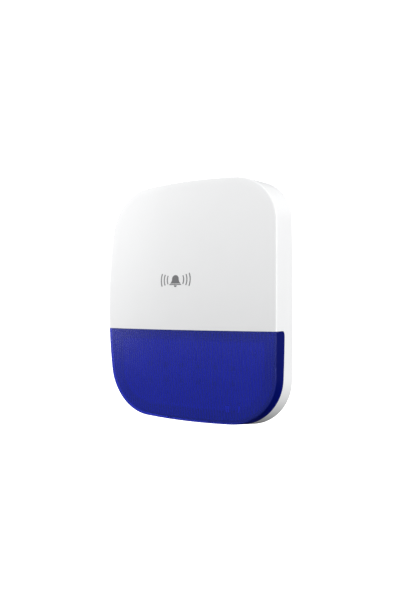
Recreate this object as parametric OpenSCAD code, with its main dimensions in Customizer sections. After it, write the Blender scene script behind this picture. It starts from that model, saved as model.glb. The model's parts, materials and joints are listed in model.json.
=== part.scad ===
// Wall-mounted outdoor alarm siren with a strobe.
// Frame: origin on the wall plane at the centre of the housing outline,
// +Z up, the front faces -Y. "Depth" is the distance from the wall, so y = -depth.

/* [Housing] */
// Widest part of the housing
body_w = 214; // [206:1:222]
// Tallest part of the housing, crowns of the top and bottom edges included
body_h = 270; // [262:1:278]
// Depth of the shell at the crown of its front, from its rear edge
body_d = 54.5; // [53:0.5:58]
// Space between the shell's rear edge and the wall
wall_gap = 3; // [3:0.5:4]
// Wall thickness of the shell and the lens
wall = 2.6; // [2.2:0.1:3]
// Outward bow of each side edge at the rear
side_bow = 2.2; // [1:0.1:4]
// Outward bow of the top and bottom edges
end_bow = 5.8; // [4:0.1:7]
// Corner radius at the top of the rear outline
corner_top = 44; // [38:1:50]
// Corner radius at the bottom of the rear outline
corner_bottom = 51.6; // [44:0.2:56]

/* [Front crown] */
// Radius of the front's crown across the width
crown_across = 522; // [450:1:700]
// Radius of the front's crown along the height
crown_along = 689; // [600:1:900]
// Height of the deepest point of the front
crown_z = -7; // [-12:1:0]

/* [Strobe lens] */
// Height of the seam between the white front and the lens
seam_z = -29.2; // [-31:0.1:-28]
// Depth of the lens's rear edge from the wall
joint_depth = 24.9; // [24:0.1:26]
// Radius of the lens's upper rear corner, seen from the side
lens_corner = 5.5; // [3:0.5:6]
// Number of light-emitting diodes in each of the two rows
led_columns = 6; // [4:1:7]

/* [Fixing] */
// Travel that lifts the siren off the bracket's hooks
lift = 8; // [7:0.5:8]
// Distance between the wall screws across the bracket
screw_pitch_x = 84; // [76:1:86]
// Distance between the wall screws up the bracket
screw_pitch_z = 120; // [110:1:124]
// Radius of each wall screw hole
wall_hole_r = 2.5; // [2:0.1:2.8]

/* [Sounder] */
// Outer radius of the round sounder chamber
chamber_r = 30; // [27:0.5:31]
// Height of the chamber's centre
chamber_z = -72; // [-74:0.5:-71]
// Number of sound slots in the bottom of the shell
slot_count = 13; // [7:2:13]

/* [Power] */
// Length of one cylindrical lithium cell
cell_length = 34.2; // [33:0.1:34.4]
// Radius of one cell
cell_r = 8.4; // [8:0.1:8.5]

/* [Hidden] */

// Outline of the shell's front rim, measured rim_depth in front of the rear edge
rim_depth = 42;
rim_narrower = 1;      // each side
rim_top_drop = 1.8;
rim_bottom_rise = 6.7;
rim_side_bow = 6.3;
rim_corner_top = 52.6;
rim_corner_bottom = 54.2;

far_depth = 66;        // beyond the crown's deepest point
front_depth = wall_gap + body_d;
arc_steps = 12;
outline_margin = 1.2;  // clearance between the rear housing and the shell
fit_gap = 0.15;        // visible gap of the lens joint

// Hinge between the rear housing and the cover, just inside the top edge
hinge_depth = wall_gap + 2.5;
hinge_z = body_h / 2 - 4.5;
hinge_pin_r = 1.5;
hinge_x = 32.4;        // inner end of each pin
hinge_pin_l = 5;

// Rear housing
base_t = 2.5;
lip_depth = 10;
base_top_z = hinge_z - 4;
pocket_half_w = 66;
pocket_bottom = -95.5;
pocket_top = 99;
floor_depth = 11;
deck = floor_depth + base_t;      // depth of the surface that carries the electronics
bracket_half_w = 62;
bracket_bottom = -85;
bracket_top = 95;
bracket_mid = (bracket_top + bracket_bottom) / 2;
hook_x = 54;
hook_z = [84, -78];               // top face of each pair of hook stems
hook_w = 12;
hook_t = 3;
hook_rise = 6;
lock_x = 16;
lock_z = -30;
lock_r = 1.9;
cable_x = -52;
cable_z = -32;
cable_r = 3.5;
grommet_r = 8;

// Cover
flange_t = 2;
flange_w = 9;
seal_t = 1.2;
flange_front = joint_depth - seal_t;
flange_rear = flange_front - flange_t;
foot_t = 2;
shelf_t = 2.4;
lens_screw_at = [[97.5, -62], [-97.5, -62], [26, -126.4], [-26, -126.4], [55, -36.8], [-55, -36.8]];
cover_screw_x = 58;
cover_screw_depth = 16;
cover_screw_r = 1.75;
cover_screw_seat = -128.6;   // underside of the shell's boss, where the head bears
tab_bottom = -125.8;
tab_t = 3;
slot_pitch = 7;
slot_w = 3;

// Main board
board_depth = 18.5;
board_t = 1.6;
board_face = board_depth + board_t;
board_half_w = 70;
board_bottom = -18;
board_top = 54;
board_screw_at = [[60, -12], [-60, -12], [60, 48], [-60, 48]];
antenna_x = -54.4;

// Batteries
cell_pitch = 2 * cell_r + 1.2;
cell_mid_z = 79.3;
cell_x = 17.8;
cell_depth = deck + 1.6 + cell_r + 0.2;
holder_half_w = 40.2;
holder_half_h = cell_pitch / 2 + cell_r + 2.4;

// Cover tamper switch
ct_x = 34;
ct_z = 34;
ct_tip = 47.8;

// Wall tamper switch
wt_x = -20;
wt_z = 12;
wt_tip = 5.4;
wt_travel = 2;
wt_clear = 0.35;

// Strobe unit
reflector_rear = 35.3;
reflector_t = 1.5;
reflector_rim = 4;
reflector_half_w = 91;
reflector_top = -41;
reflector_post_at = [[78, -54], [-78, -54], [60, -104], [-60, -104]];
led_board_half_w = 66;
led_board_z = -78;
led_board_half_h = 17;
led_board_t = 1.6;
led_pitch_x = 21;
led_pitch_z = 17;
led_board_screw_at = [[61, -66], [-61, -66], [61, -90], [-61, -90]];

// Sounder
chamber_wall = 2;
chamber_front = deck + 16;
mouth_z = -118.6;
mouth_half_w = 50;
neck_half_w = 22;
neck_z = -94;
sounder_screw_at = [[24, -50], [-24, -50], [24, -94], [-24, -94]];

pin_clear = 0.05;      // radial running clearance of sliding pins
screw_segments = 32;
$fn = 48;

// ---------- Outline of the housing ----------

// Direction from point a to point b, in degrees
function heading(a, b) = atan2(b[1] - a[1], b[0] - a[0]);

// Value at a given depth of something that changes steadily from the rear edge to the front rim
function drafted(rear, rim, depth) = rear + (rim - rear) * (depth - wall_gap) / rim_depth;

// Radius of an edge of the given length that bows out by the given height
function bow_radius(length, bow) = (pow(length / 2, 2) + pow(bow, 2)) / (2 * bow);

// Right-hand crossing of circles (c1, r1) and (c2, r2)
function crossing(c1, r1, c2, r2) =
    let (d = norm(c2 - c1), a = (r1 * r1 - r2 * r2 + d * d) / (2 * d),
         h = sqrt(r1 * r1 - a * a), u = (c2 - c1) / d,
         p = c1 + a * u, q = h * [-u[1], u[0]])
    (p + q)[0] > (p - q)[0] ? p + q : p - q;

function arc(c, r, from, to) =
    [for (i = [0 : arc_steps]) c + r * [cos(from + (to - from) * i / arc_steps),
                                         sin(from + (to - from) * i / arc_steps)]];

// Right half of the outline at a depth, drawn inset from the surface, from top to bottom
function half_outline(depth, inset) =
    let (w = body_w - 2 * drafted(0, rim_narrower, depth),
         top = body_h / 2 - drafted(0, rim_top_drop, depth),
         bottom = -body_h / 2 + drafted(0, rim_bottom_rise, depth),
         r_side = bow_radius(top - bottom, drafted(side_bow, rim_side_bow, depth)),
         r_end = bow_radius(w, end_bow),
         rt = drafted(corner_top, rim_corner_top, depth),
         rb = drafted(corner_bottom, rim_corner_bottom, depth),
         side = [w / 2 - r_side, (top + bottom) / 2],
         over = [0, top - r_end],
         under = [0, bottom + r_end],
         ct = crossing(side, r_side - rt, over, r_end - rt),
         cb = crossing(side, r_side - rb, under, r_end - rb))
    concat(arc(over, r_end - inset, 90, heading(over, ct)),
           arc(ct, rt - inset, heading(over, ct), heading(side, ct)),
           arc(side, r_side - inset, heading(side, ct), heading(side, cb)),
           arc(cb, rb - inset, heading(side, cb), heading(under, cb)),
           arc(under, r_end - inset, heading(under, cb), -90));

module outline(depth, inset) {
    right = half_outline(depth, inset);
    last = len(right) - 1;
    left = [for (i = [last - 1 : -1 : 1]) [-right[i][0], right[i][1]]];
    polygon(concat([for (i = [0 : last]) right[i]], left));
}

// ---------- Shared shapes ----------

// Extrudes an outline drawn in X and Z from one depth to another
module plate(from, to) {
    translate([0, -from, 0])
        rotate([90, 0, 0])
            linear_extrude(to - from)
                children();
}

// Round bar along Y at (x, z)
module rod(x, z, r, from, to) {
    translate([x, -from, z])
        rotate([90, 0, 0])
            cylinder(r = r, h = to - from);
}

// Box between two corners given as [x, depth, z]
module block(a, b) {
    translate([min(a[0], b[0]), -max(a[1], b[1]), min(a[2], b[2])])
        cube([abs(b[0] - a[0]), abs(b[1] - a[1]), abs(b[2] - a[2])]);
}

module rounded_rect(w, h, r) {
    union() {
        square([w - 2 * r, h], center = true);
        square([w, h - 2 * r], center = true);
        for (sx = [-1, 1], sz = [-1, 1])
            translate([sx * (w / 2 - r), sz * (h / 2 - r)])
                circle(r = r);
    }
}

// Housing form between two depths, drawn inset from the outer surface
module loft(inset, from = wall_gap) {
    hull() {
        plate(from, from + 0.01)
            outline(from, inset);
        plate(far_depth, far_depth + 0.01)
            outline(far_depth, inset);
    }
}

// Everything behind the doubly crowned front
module crown(inset) {
    axis_depth = front_depth - crown_across;
    translate([0, -axis_depth, 0])
        rotate([0, 0, -90 - 20])
            rotate_extrude(angle = 40, $fn = 256)
                intersection() {
                    translate([crown_across - crown_along, crown_z])
                        circle(r = crown_along - inset);
                    translate([crown_across - 120, -body_h])
                        square([160, 2 * body_h]);
                }
}

module housing(inset, from = wall_gap) {
    intersection() {
        loft(inset, from);
        crown(inset);
    }
}

// Everything below the seam and in front of the joint, with the rounded upper rear corner
module lens_zone(gap, from) {
    z = seam_z - gap;
    translate([-body_w, 0, 0])
        rotate([90, 0, 90])
            linear_extrude(2 * body_w)
                union() {
                    translate([-far_depth - 5, -body_h])
                        square([far_depth + 5 - from - lens_corner, body_h + z]);
                    translate([-from - lens_corner - 1, -body_h])
                        square([lens_corner + 1, body_h + z - lens_corner]);
                    translate([-from - lens_corner, z - lens_corner])
                        circle(r = lens_corner);
                }
}

// Opening inside the lens joint's flange
module flange_opening() {
    intersection() {
        outline(flange_front, wall + flange_w);
        translate([-body_w, -body_h])
            square([2 * body_w, body_h + seam_z - flange_w]);
    }
}

// Region inside the shell and below the seam, inset from the outer surface
module below_seam(inset, drop = 0) {
    intersection() {
        outline(joint_depth, inset);
        translate([-body_w, -body_h])
            square([2 * body_w, body_h + seam_z - drop]);
    }
}

// Pan-head screw along Y: the head's underside is at depth seat, and the thread points to end
module screw_along_y(x, z, seat, end, r, head_r, head_t) {
    away = end > seat ? -1 : 1;
    difference() {
        union() {
            rod(x, z, r, min(seat, end), max(seat, end), $fn = screw_segments);
            rod(x, z, head_r, min(seat, seat + away * head_t), max(seat, seat + away * head_t));
        }
        for (turn = [0, 90])
            translate([x, -(seat + away * head_t), z])
                rotate([0, turn, 0])
                    cube([head_r * 1.3, head_t, head_r * 0.3], center = true);
    }
}

// Point list along a helix around Y at (x, z)
function helix(x, z, r, from, to, turns) =
    let (steps = ceil(turns * 12))
    [for (i = [0 : steps]) [x + r * cos(360 * turns * i / steps),
                            -(from + (to - from) * i / steps),
                            z + r * sin(360 * turns * i / steps)]];

function unit(v) = v / norm(v);

// Tube of round section swept along a list of points, with mitred joints
module sweep(path, r, sides = 8) {
    n = len(path);
    way = [for (i = [0 : n - 1]) unit(path[min(i + 1, n - 1)] - path[max(i - 1, 0)])];
    side = [for (w = way) unit(cross(w, abs(w[2]) > 0.9 ? [1, 0, 0] : [0, 0, 1]))];
    rings = [for (i = [0 : n - 1], k = [0 : sides - 1])
        path[i] + r * (side[i] * cos(360 * k / sides) + cross(way[i], side[i]) * sin(360 * k / sides))];
    walls = [for (i = [0 : n - 2], k = [0 : sides - 1], half = [0, 1])
        let (a = i * sides + k, b = i * sides + (k + 1) % sides)
        half == 0 ? [b, a, a + sides] : [b, a + sides, b + sides]];
    ends = [[for (k = [0 : sides - 1]) k],
            [for (k = [sides - 1 : -1 : 0]) (n - 1) * sides + k]];
    polyhedron(rings, concat(walls, ends));
}

// ---------- Bracket on the wall ----------

module hook(x, top) {
    block([x - hook_w / 2, base_t - 0.5, top - hook_t], [x + hook_w / 2, deck + 2.5, top]);
    block([x - hook_w / 2, deck + 0.3, top - hook_t], [x + hook_w / 2, deck + 2.5, top + hook_rise]);
}

// Ramp that presses the wall tamper plunger in and lets it out as the siren lifts
module tamper_ramp() {
    slope = wt_travel / lift;
    start = wt_z - 3;
    end = wt_z + lift + 3;
    high = wt_tip - wt_clear + 3 * slope;
    low = high - (end - start) * slope;
    translate([wt_x - 4, 0, 0])
        rotate([90, 0, 90])
            linear_extrude(8)
                polygon([[-1, start], [-high, start], [-low, end], [-1, end]]);
}

module wall_bracket() {
    color("gainsboro")
        difference() {
            union() {
                translate([0, 0, bracket_mid])
                    difference() {
                        plate(0, 7)
                            rounded_rect(2 * bracket_half_w, bracket_top - bracket_bottom, 8);
                        plate(base_t, 8)
                            rounded_rect(2 * bracket_half_w - 4.4, bracket_top - bracket_bottom - 4.4, 5.8);
                    }
                for (x = [-hook_x, hook_x], z = hook_z)
                    hook(x, z);
                rod(lock_x, lock_z, 4, base_t - 0.5, floor_depth - 0.3);
                tamper_ramp();
                for (x = [-screw_pitch_x / 2, screw_pitch_x / 2], z = [-1, 1])
                    rod(x, bracket_mid + z * screw_pitch_z / 2, 6, base_t - 0.5, 4);
            }
            for (x = [-screw_pitch_x / 2, screw_pitch_x / 2], z = [-1, 1])
                rod(x, bracket_mid + z * screw_pitch_z / 2, wall_hole_r, -1, 5);
            rod(lock_x, lock_z, lock_r + pin_clear, -1, floor_depth);
            translate([cable_x + 8, 0, cable_z])
                plate(-1, base_t + 1)
                    rounded_rect(28, 28, 4);
        }
}

module locking_screw() {
    color("silver")
        screw_along_y(lock_x, lock_z, deck + 0.3, 1, lock_r, 4, 2.4);
}

// ---------- Rear housing ----------

// Cradle that the cover's hinge pin hangs in, open towards the top and rear
module hinge_cradle(x) {
    difference() {
        union() {
            block([x, hinge_depth - 0.8, base_top_z - 2],
                  [x + hinge_pin_l - 0.4, hinge_depth + 4.2, hinge_z]);
            block([x, hinge_depth + 1, hinge_z - 1],
                  [x + hinge_pin_l - 0.4, hinge_depth + 4.2, hinge_z + 0.7]);
        }
        translate([x - 1, -hinge_depth, hinge_z])
            rotate([0, 90, 0])
                cylinder(r = hinge_pin_r + pin_clear, h = hinge_pin_l + 2, $fn = screw_segments);
        block([x - 1, hinge_depth - 3, hinge_z - 0.01], [x + hinge_pin_l, hinge_depth + 1.2, hinge_z + 3]);
    }
}

module closing_tab(x) {
    difference() {
        block([x - 8, wall_gap + 0.5, tab_bottom], [x + 8, cover_screw_depth + 5, tab_bottom + tab_t]);
        translate([x, -cover_screw_depth, tab_bottom - 1])
            cylinder(r = cover_screw_r + 0.35, h = tab_t + 2, $fn = screw_segments);
        block([x - cover_screw_r - 0.35, cover_screw_depth, tab_bottom - 1],
              [x + cover_screw_r + 0.35, cover_screw_depth + 8, tab_bottom + tab_t + 1]);
    }
}

module base_outline(inset) {
    intersection() {
        outline(wall_gap + base_t, wall + outline_margin + inset);
        translate([-body_w, -body_h])
            square([2 * body_w, body_h + base_top_z - inset]);
    }
}

module rear_housing() {
    color("whitesmoke")
        difference() {
            union() {
                plate(wall_gap, wall_gap + base_t)
                    base_outline(0);
                plate(wall_gap, lip_depth)
                    difference() {
                        base_outline(0);
                        base_outline(2.2);
                    }
                block([-pocket_half_w - base_t, wall_gap, pocket_bottom - base_t],
                      [pocket_half_w + base_t, deck, pocket_top + base_t]);
                for (p = board_screw_at)
                    rod(p[0], p[1], 3.5, deck - 1, board_depth);
                for (p = reflector_post_at)
                    rod(p[0], p[1], 4, wall_gap + 1, reflector_rear);
                for (x = [-1, 1])
                    closing_tab(x * cover_screw_x);
                hinge_cradle(hinge_x + 0.2);
                mirror([1, 0, 0])
                    hinge_cradle(hinge_x + 0.2);
            }
            block([-pocket_half_w, wall_gap - 1, pocket_bottom], [pocket_half_w, floor_depth, pocket_top]);
            for (x = [-hook_x, hook_x], z = hook_z)
                block([x - hook_w / 2 - 0.5, floor_depth - 1, z - hook_t - lift - 0.8],
                      [x + hook_w / 2 + 0.5, deck + 1, z + 0.05]);
            for (z = [lock_z, lock_z - lift - 0.4])
                rod(lock_x, z, lock_r + 0.3, floor_depth - 1, deck + 1, $fn = screw_segments);
            block([lock_x - lock_r - 0.3, floor_depth - 1, lock_z - lift - 0.4],
                  [lock_x + lock_r + 0.3, deck + 1, lock_z]);
            rod(wt_x, wt_z, 3.6, floor_depth - 1, deck + 1);
            rod(cable_x, cable_z, grommet_r - 1.5, floor_depth - 1, deck + 1);
            for (p = board_screw_at)
                rod(p[0], p[1], 1.25, deck, board_depth + 1, $fn = screw_segments);
            for (p = reflector_post_at)
                rod(p[0], p[1], 1.25, reflector_rear - 10, reflector_rear + 1, $fn = screw_segments);
        }
}

module cable_grommet() {
    color("dimgray")
        translate([cable_x, -deck - 2, cable_z])
            rotate([-90, 0, 0])
                rotate_extrude()
                    polygon([[cable_r, 0], [grommet_r - 1, 0], [grommet_r, 1], [grommet_r, 2],
                             [grommet_r - 1.5, 2], [grommet_r - 1.5, 2 + base_t], [grommet_r, 2 + base_t],
                             [grommet_r - 0.5, 4 + base_t], [cable_r, 4 + base_t]]);
}

// ---------- Cover ----------

module hinge_lug() {
    block([hinge_x - 4, hinge_depth - 1.2, hinge_z - 1.8], [hinge_x, hinge_depth + 3, body_h / 2 - 1.5]);
    translate([hinge_x - 0.5, -hinge_depth, hinge_z])
        rotate([0, 90, 0])
            cylinder(r = hinge_pin_r, h = hinge_pin_l + 0.5, $fn = screw_segments);
}

module front_cover() {
    color("white")
        difference() {
            union() {
                difference() {
                    housing(0);
                    housing(wall, wall_gap - 2);
                    lens_zone(0, joint_depth);
                }
                intersection() {
                    housing(wall - 1);
                    difference() {
                        union() {
                            block([-body_w, flange_rear, seam_z], [body_w, far_depth, seam_z + shelf_t]);
                            block([-body_w, flange_rear, seam_z + shelf_t], [body_w, flange_front, -body_h]);
                            for (x = [-1, 1])
                                translate([x * cover_screw_x, -cover_screw_depth, -body_h / 2])
                                    cylinder(r = 4.8, h = body_h / 2 + tab_bottom - 0.4);
                        }
                        plate(flange_rear - 1, joint_depth)
                            flange_opening();
                    }
                }
                hinge_lug();
                mirror([1, 0, 0])
                    hinge_lug();
                rod(ct_x, ct_z, 3, ct_tip + 0.1, front_depth - wall - 1);
            }
            for (x = [-1, 1])
                translate([x * cover_screw_x, -cover_screw_depth, -body_h / 2 - 1]) {
                    cylinder(r = cover_screw_r + 0.1, h = 20, $fn = screw_segments);
                    cylinder(r = 3.8, h = cover_screw_seat + body_h / 2 + 1);
                }
            for (p = lens_screw_at)
                rod(p[0], p[1], 1.6, flange_rear - 1, joint_depth, $fn = screw_segments);
            for (i = [0 : slot_count - 1])
                translate([(i - (slot_count - 1) / 2) * slot_pitch - slot_w / 2,
                           -(flange_rear - 1), -body_h / 2 - 5])
                    cube([slot_w, 8.5, 10]);
        }
}

module strobe_lens() {
    color([0.1, 0.15, 0.65, 0.8])
        difference() {
            union() {
                difference() {
                    intersection() {
                        housing(0);
                        lens_zone(fit_gap, joint_depth + fit_gap);
                    }
                    intersection() {
                        housing(wall);
                        block([-body_w, joint_depth - 1, -body_h],
                              [body_w, far_depth, seam_z - fit_gap - shelf_t]);
                    }
                }
                intersection() {
                    housing(wall - 1);
                    union() {
                        difference() {
                            intersection() {
                                lens_zone(fit_gap, joint_depth);
                                block([-body_w, joint_depth, -body_h],
                                      [body_w, joint_depth + foot_t, seam_z - fit_gap - 1]);
                            }
                            plate(joint_depth - 1, joint_depth + foot_t + 1)
                                flange_opening();
                        }
                        for (p = lens_screw_at)
                            rod(p[0], p[1], 3, joint_depth, joint_depth + 11);
                    }
                }
            }
            for (p = lens_screw_at)
                rod(p[0], p[1], 1.15, joint_depth - 1, joint_depth + 9, $fn = screw_segments);
            // step that clears the shell's wall, so that the foot sits inside it
            plate(joint_depth - 1, joint_depth + fit_gap)
                difference() {
                    square(3 * body_h, center = true);
                    below_seam(wall + 0.1, 2.4);
                }
        }
}

module lens_seal() {
    color("black")
        difference() {
            plate(flange_front, joint_depth)
                difference() {
                    below_seam(wall + 0.4, 0.6);
                    offset_opening();
                }
            for (p = lens_screw_at)
                rod(p[0], p[1], 1.6, flange_front - 1, joint_depth + 1, $fn = screw_segments);
        }
}

// Inner edge of the seal, just outside the flange's own opening
module offset_opening() {
    intersection() {
        outline(flange_front, wall + flange_w - 0.8);
        translate([-body_w, -body_h])
            square([2 * body_w, body_h + seam_z - flange_w + 0.8]);
    }
}

module lens_screws() {
    color("silver")
        for (p = lens_screw_at)
            screw_along_y(p[0], p[1], flange_rear, joint_depth + 8, 1.15, 2.5, 1.7);
}

// Captive screws that clamp the cover to the housing's slotted tabs from below
module cover_screws() {
    color("silver")
        for (x = [-1, 1])
            translate([x * cover_screw_x, -cover_screw_depth, 0])
                difference() {
                    union() {
                        translate([0, 0, cover_screw_seat - 2])
                            cylinder(r = 3.4, h = 2);
                        translate([0, 0, cover_screw_seat - 0.5])
                            cylinder(r = cover_screw_r, h = 10, $fn = screw_segments);
                    }
                    translate([0, 0, cover_screw_seat - 3])
                        cylinder(r = 1.6, h = 2.4, $fn = 6);
                }
}

module cover_nuts() {
    color("goldenrod")
        for (x = [-1, 1])
            translate([x * cover_screw_x, -cover_screw_depth, tab_bottom + tab_t + 0.3])
                difference() {
                    cylinder(r = 3.6, h = 2.6, $fn = 6);
                    translate([0, 0, -1])
                        cylinder(r = cover_screw_r, h = 5, $fn = screw_segments);
                }
}

// ---------- Batteries ----------

module battery_holder() {
    color("dimgray")
        difference() {
            block([-holder_half_w, deck, cell_mid_z - holder_half_h],
                  [holder_half_w, deck + 12, cell_mid_z + holder_half_h]);
            for (z = [-1, 1])
                block([-holder_half_w + 2, deck + 1.6, cell_mid_z + z * 0.6],
                      [holder_half_w - 2, deck + 13, cell_mid_z + z * (holder_half_h - 2)]);
        }
}

module battery_contacts() {
    color("lightgray")
        for (row = [-1, 1], side = [-1, 1])
            translate([side * (holder_half_w - 2), -cell_depth, cell_mid_z + row * cell_pitch / 2])
                rotate([0, -side * 90, 0])
                    union() {
                        translate([-4, -5, 0])
                            cube([11, 10, 0.5]);
                        cylinder(r1 = 4.2, r2 = 2.4, h = holder_half_w - 2 - cell_x - cell_length / 2 - 0.1);
                    }
}

module battery_cell(column, row) {
    color("royalblue")
        translate([column * cell_x, -cell_depth, cell_mid_z + row * cell_pitch / 2])
            rotate([0, 90, 0])
                union() {
                    translate([0, 0, -cell_length / 2])
                        cylinder(r = cell_r, h = cell_length - 1);
                    translate([0, 0, cell_length / 2 - 1.5])
                        cylinder(r = 3.2, h = 1.5);
                }
}

module battery_cell_1() { battery_cell(-1, 1); }
module battery_cell_2() { battery_cell(1, 1); }
module battery_cell_3() { battery_cell(-1, -1); }
module battery_cell_4() { battery_cell(1, -1); }

// ---------- Main board ----------

module main_board() {
    color("darkgreen")
        difference() {
            translate([0, 0, (board_top + board_bottom) / 2])
                plate(board_depth, board_face)
                    rounded_rect(2 * board_half_w, board_top - board_bottom, 3);
            for (p = board_screw_at)
                rod(p[0], p[1], 1.6, board_depth - 1, board_face + 1, $fn = screw_segments);
        }
}

module board_screws() {
    color("silver")
        for (p = board_screw_at)
            screw_along_y(p[0], p[1], board_face, deck + 0.5, 1.2, 2.8, 1.8);
}

module radio_module() {
    color("silver")
        union() {
            block([-26, board_face, 22], [-2, board_face + 0.8, 40]);
            block([-25, board_face + 0.8, 23], [-9, board_face + 3, 39]);
        }
}

// Whip antenna that stands on the board and runs up beside the batteries
module antenna() {
    color("black")
        union() {
            block([antenna_x - 4, board_face, 34], [antenna_x + 4, board_face + 4, 40]);
            translate([antenna_x, -board_face - 2.3, 39])
                cylinder(r = 2.2, h = 7);
            translate([antenna_x, -board_face - 2.3, 45])
                cylinder(r = 1.2, h = 62);
            translate([antenna_x, -board_face - 2.3, 106])
                cylinder(r = 1.9, h = 4);
        }
}

module controller_chips() {
    color("black")
        union() {
            block([4, board_face, 4], [16, board_face + 1.4, 16]);
            block([2, board_face, -10], [10, board_face + 1.5, -4]);
            block([-34, board_face, 8], [-26, board_face + 1.5, 13]);
        }
}

module capacitors() {
    color("midnightblue")
        for (z = [0, 14])
            rod(-44, z, 5, board_face, board_face + 13);
}

module step_up_coil() {
    color("saddlebrown")
        difference() {
            rod(-14, -4, 7, board_face, board_face + 9);
            translate([-14, -board_face - 1.5, -4])
                rotate([90, 0, 0])
                    rotate_extrude()
                        translate([5, 0])
                            square([3, 6]);
        }
}

module terminal_block() {
    color("limegreen")
        difference() {
            block([-51, board_face, -17.5], [-35, board_face + 10, -8]);
            for (x = [-47, -39]) {
                rod(x, -12, 2.2, board_face + 6, board_face + 11);
                block([x - 2.4, board_face + 1, -18], [x + 2.4, board_face + 5, -13]);
            }
        }
}

module terminal_screws() {
    color("silver")
        for (x = [-47, -39])
            difference() {
                rod(x, -12, 2.1, board_face + 6, board_face + 8.5);
                block([x - 2.5, board_face + 7.7, -12.4], [x + 2.5, board_face + 9, -11.6]);
            }
}

module lead_sockets() {
    color("ivory")
        for (p = [[24, -14], [0, -14], [24, 50]])
            difference() {
                block([p[0] - 4, board_face, p[1] - 3], [p[0] + 4, board_face + 5.5, p[1] + 3]);
                block([p[0] - 3, board_face + 1.5, p[1] - 2], [p[0] + 3, board_face + 6, p[1] + 2]);
            }
}

module power_switch_body() {
    color("silver")
        difference() {
            block([38, board_face, -16], [50, board_face + 4.5, -10]);
            block([40.9, board_face + 1, -14.3], [47.1, board_face + 5, -11.7]);
        }
}

module power_switch_slider() {
    color("black")
        union() {
            block([41, board_face + 1.1, -14.2], [44, board_face + 4.4, -11.8]);
            block([41.5, board_face + 4.3, -14], [43.5, board_face + 8, -12]);
        }
}

module pairing_switch_body() {
    color("silver")
        difference() {
            block([40.5, board_face, -1.5], [47.5, board_face + 3.6, 5.5]);
            rod(44, 2, 1.8, board_face + 1.5, board_face + 4, $fn = screw_segments);
        }
}

module pairing_button() {
    color("red")
        rod(44, 2, 1.75, board_face + 2.2, board_face + 6.5, $fn = screw_segments);
}

// ---------- Tamper switches ----------

module cover_tamper_switch() {
    color("black")
        difference() {
            union() {
                block([ct_x - 6, board_face, ct_z - 6], [ct_x + 6, board_face + 5, ct_z + 6]);
                rod(ct_x, ct_z, 3.6, board_face + 4, board_face + 10);
            }
            rod(ct_x, ct_z, 1.5 + pin_clear, board_face + 1, board_face + 11, $fn = screw_segments);
        }
}

module cover_tamper_plunger() {
    color("white")
        union() {
            rod(ct_x, ct_z, 1.5, board_face + 1.5, ct_tip - 4, $fn = screw_segments);
            rod(ct_x, ct_z, 3.4, ct_tip - 5.5, ct_tip, $fn = screw_segments);
        }
}

module cover_tamper_spring() {
    color("lightgray")
        sweep(helix(ct_x, ct_z, 2.5, board_face + 10.4, ct_tip - 5.9, 5.3), 0.35, 6);
}

module wall_tamper_switch() {
    color("black")
        difference() {
            block([wt_x - 5, deck + 1.2, wt_z - 5], [wt_x + 5, board_depth, wt_z + 5]);
            rod(wt_x, wt_z, 1.5 + pin_clear, deck, board_depth - 0.3, $fn = screw_segments);
        }
}

module wall_tamper_plunger() {
    color("white")
        union() {
            rod(wt_x, wt_z, 1.5, wt_tip, deck + 4.2, $fn = screw_segments);
            rod(wt_x, wt_z, 2.8, wt_tip + 1.2, wt_tip + 2.4, $fn = screw_segments);
        }
}

module wall_tamper_spring() {
    color("lightgray")
        sweep(helix(wt_x, wt_z, 2.2, wt_tip + 2.8, deck + 0.8, 4.3), 0.3, 6);
}

// ---------- Strobe unit ----------

module reflector_outline(inset) {
    intersection() {
        outline(reflector_rear, (body_w / 2 - rim_narrower) - reflector_half_w + inset);
        translate([-body_w, -body_h])
            square([2 * body_w, body_h + reflector_top - inset]);
    }
}

module reflector() {
    color("gainsboro")
        difference() {
            union() {
                plate(reflector_rear, reflector_rear + reflector_t)
                    reflector_outline(0);
                plate(reflector_rear, reflector_rear + reflector_rim)
                    difference() {
                        reflector_outline(0);
                        reflector_outline(1.5);
                    }
                for (p = [[53, -107], [66, -104]])
                    rod(p[0], p[1], 1.5, reflector_rear + 1, reflector_rear + 7);
            }
            for (p = reflector_post_at)
                rod(p[0], p[1], 1.6, reflector_rear - 1, reflector_rear + 3, $fn = screw_segments);
            for (p = led_board_screw_at)
                rod(p[0], p[1], 1, reflector_rear - 1, reflector_rear + 1.2, $fn = screw_segments);
            for (i = [0 : led_columns - 1], z = [-1, 1])
                translate([(i - (led_columns - 1) / 2) * led_pitch_x, 0, led_board_z + z * led_pitch_z / 2])
                    plate(reflector_rear - 1, reflector_rear + 3)
                        square(6, center = true);
        }
}

module reflector_screws() {
    color("silver")
        for (p = reflector_post_at)
            screw_along_y(p[0], p[1], reflector_rear + reflector_t, reflector_rear - 9, 1.2, 2.8, 1.8);
}

module led_board() {
    color("white")
        difference() {
            translate([0, 0, led_board_z])
                plate(reflector_rear - led_board_t, reflector_rear)
                    rounded_rect(2 * led_board_half_w, 2 * led_board_half_h, 2);
            for (p = led_board_screw_at)
                rod(p[0], p[1], 1.2, reflector_rear - 3, reflector_rear + 1, $fn = screw_segments);
        }
}

module strobe_leds() {
    color("lightyellow")
        for (i = [0 : led_columns - 1], z = [-1, 1])
            translate([(i - (led_columns - 1) / 2) * led_pitch_x, 0, led_board_z + z * led_pitch_z / 2])
                union() {
                    plate(reflector_rear, reflector_rear + 1.8)
                        square(5, center = true);
                    rod(0, 0, 1.9, reflector_rear + 1.5, reflector_rear + 2.6);
                }
}

module led_board_screws() {
    color("silver")
        for (p = led_board_screw_at)
            screw_along_y(p[0], p[1], reflector_rear - led_board_t, reflector_rear + 1.1, 1, 2, 1.3);
}

// ---------- Sounder ----------

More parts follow.
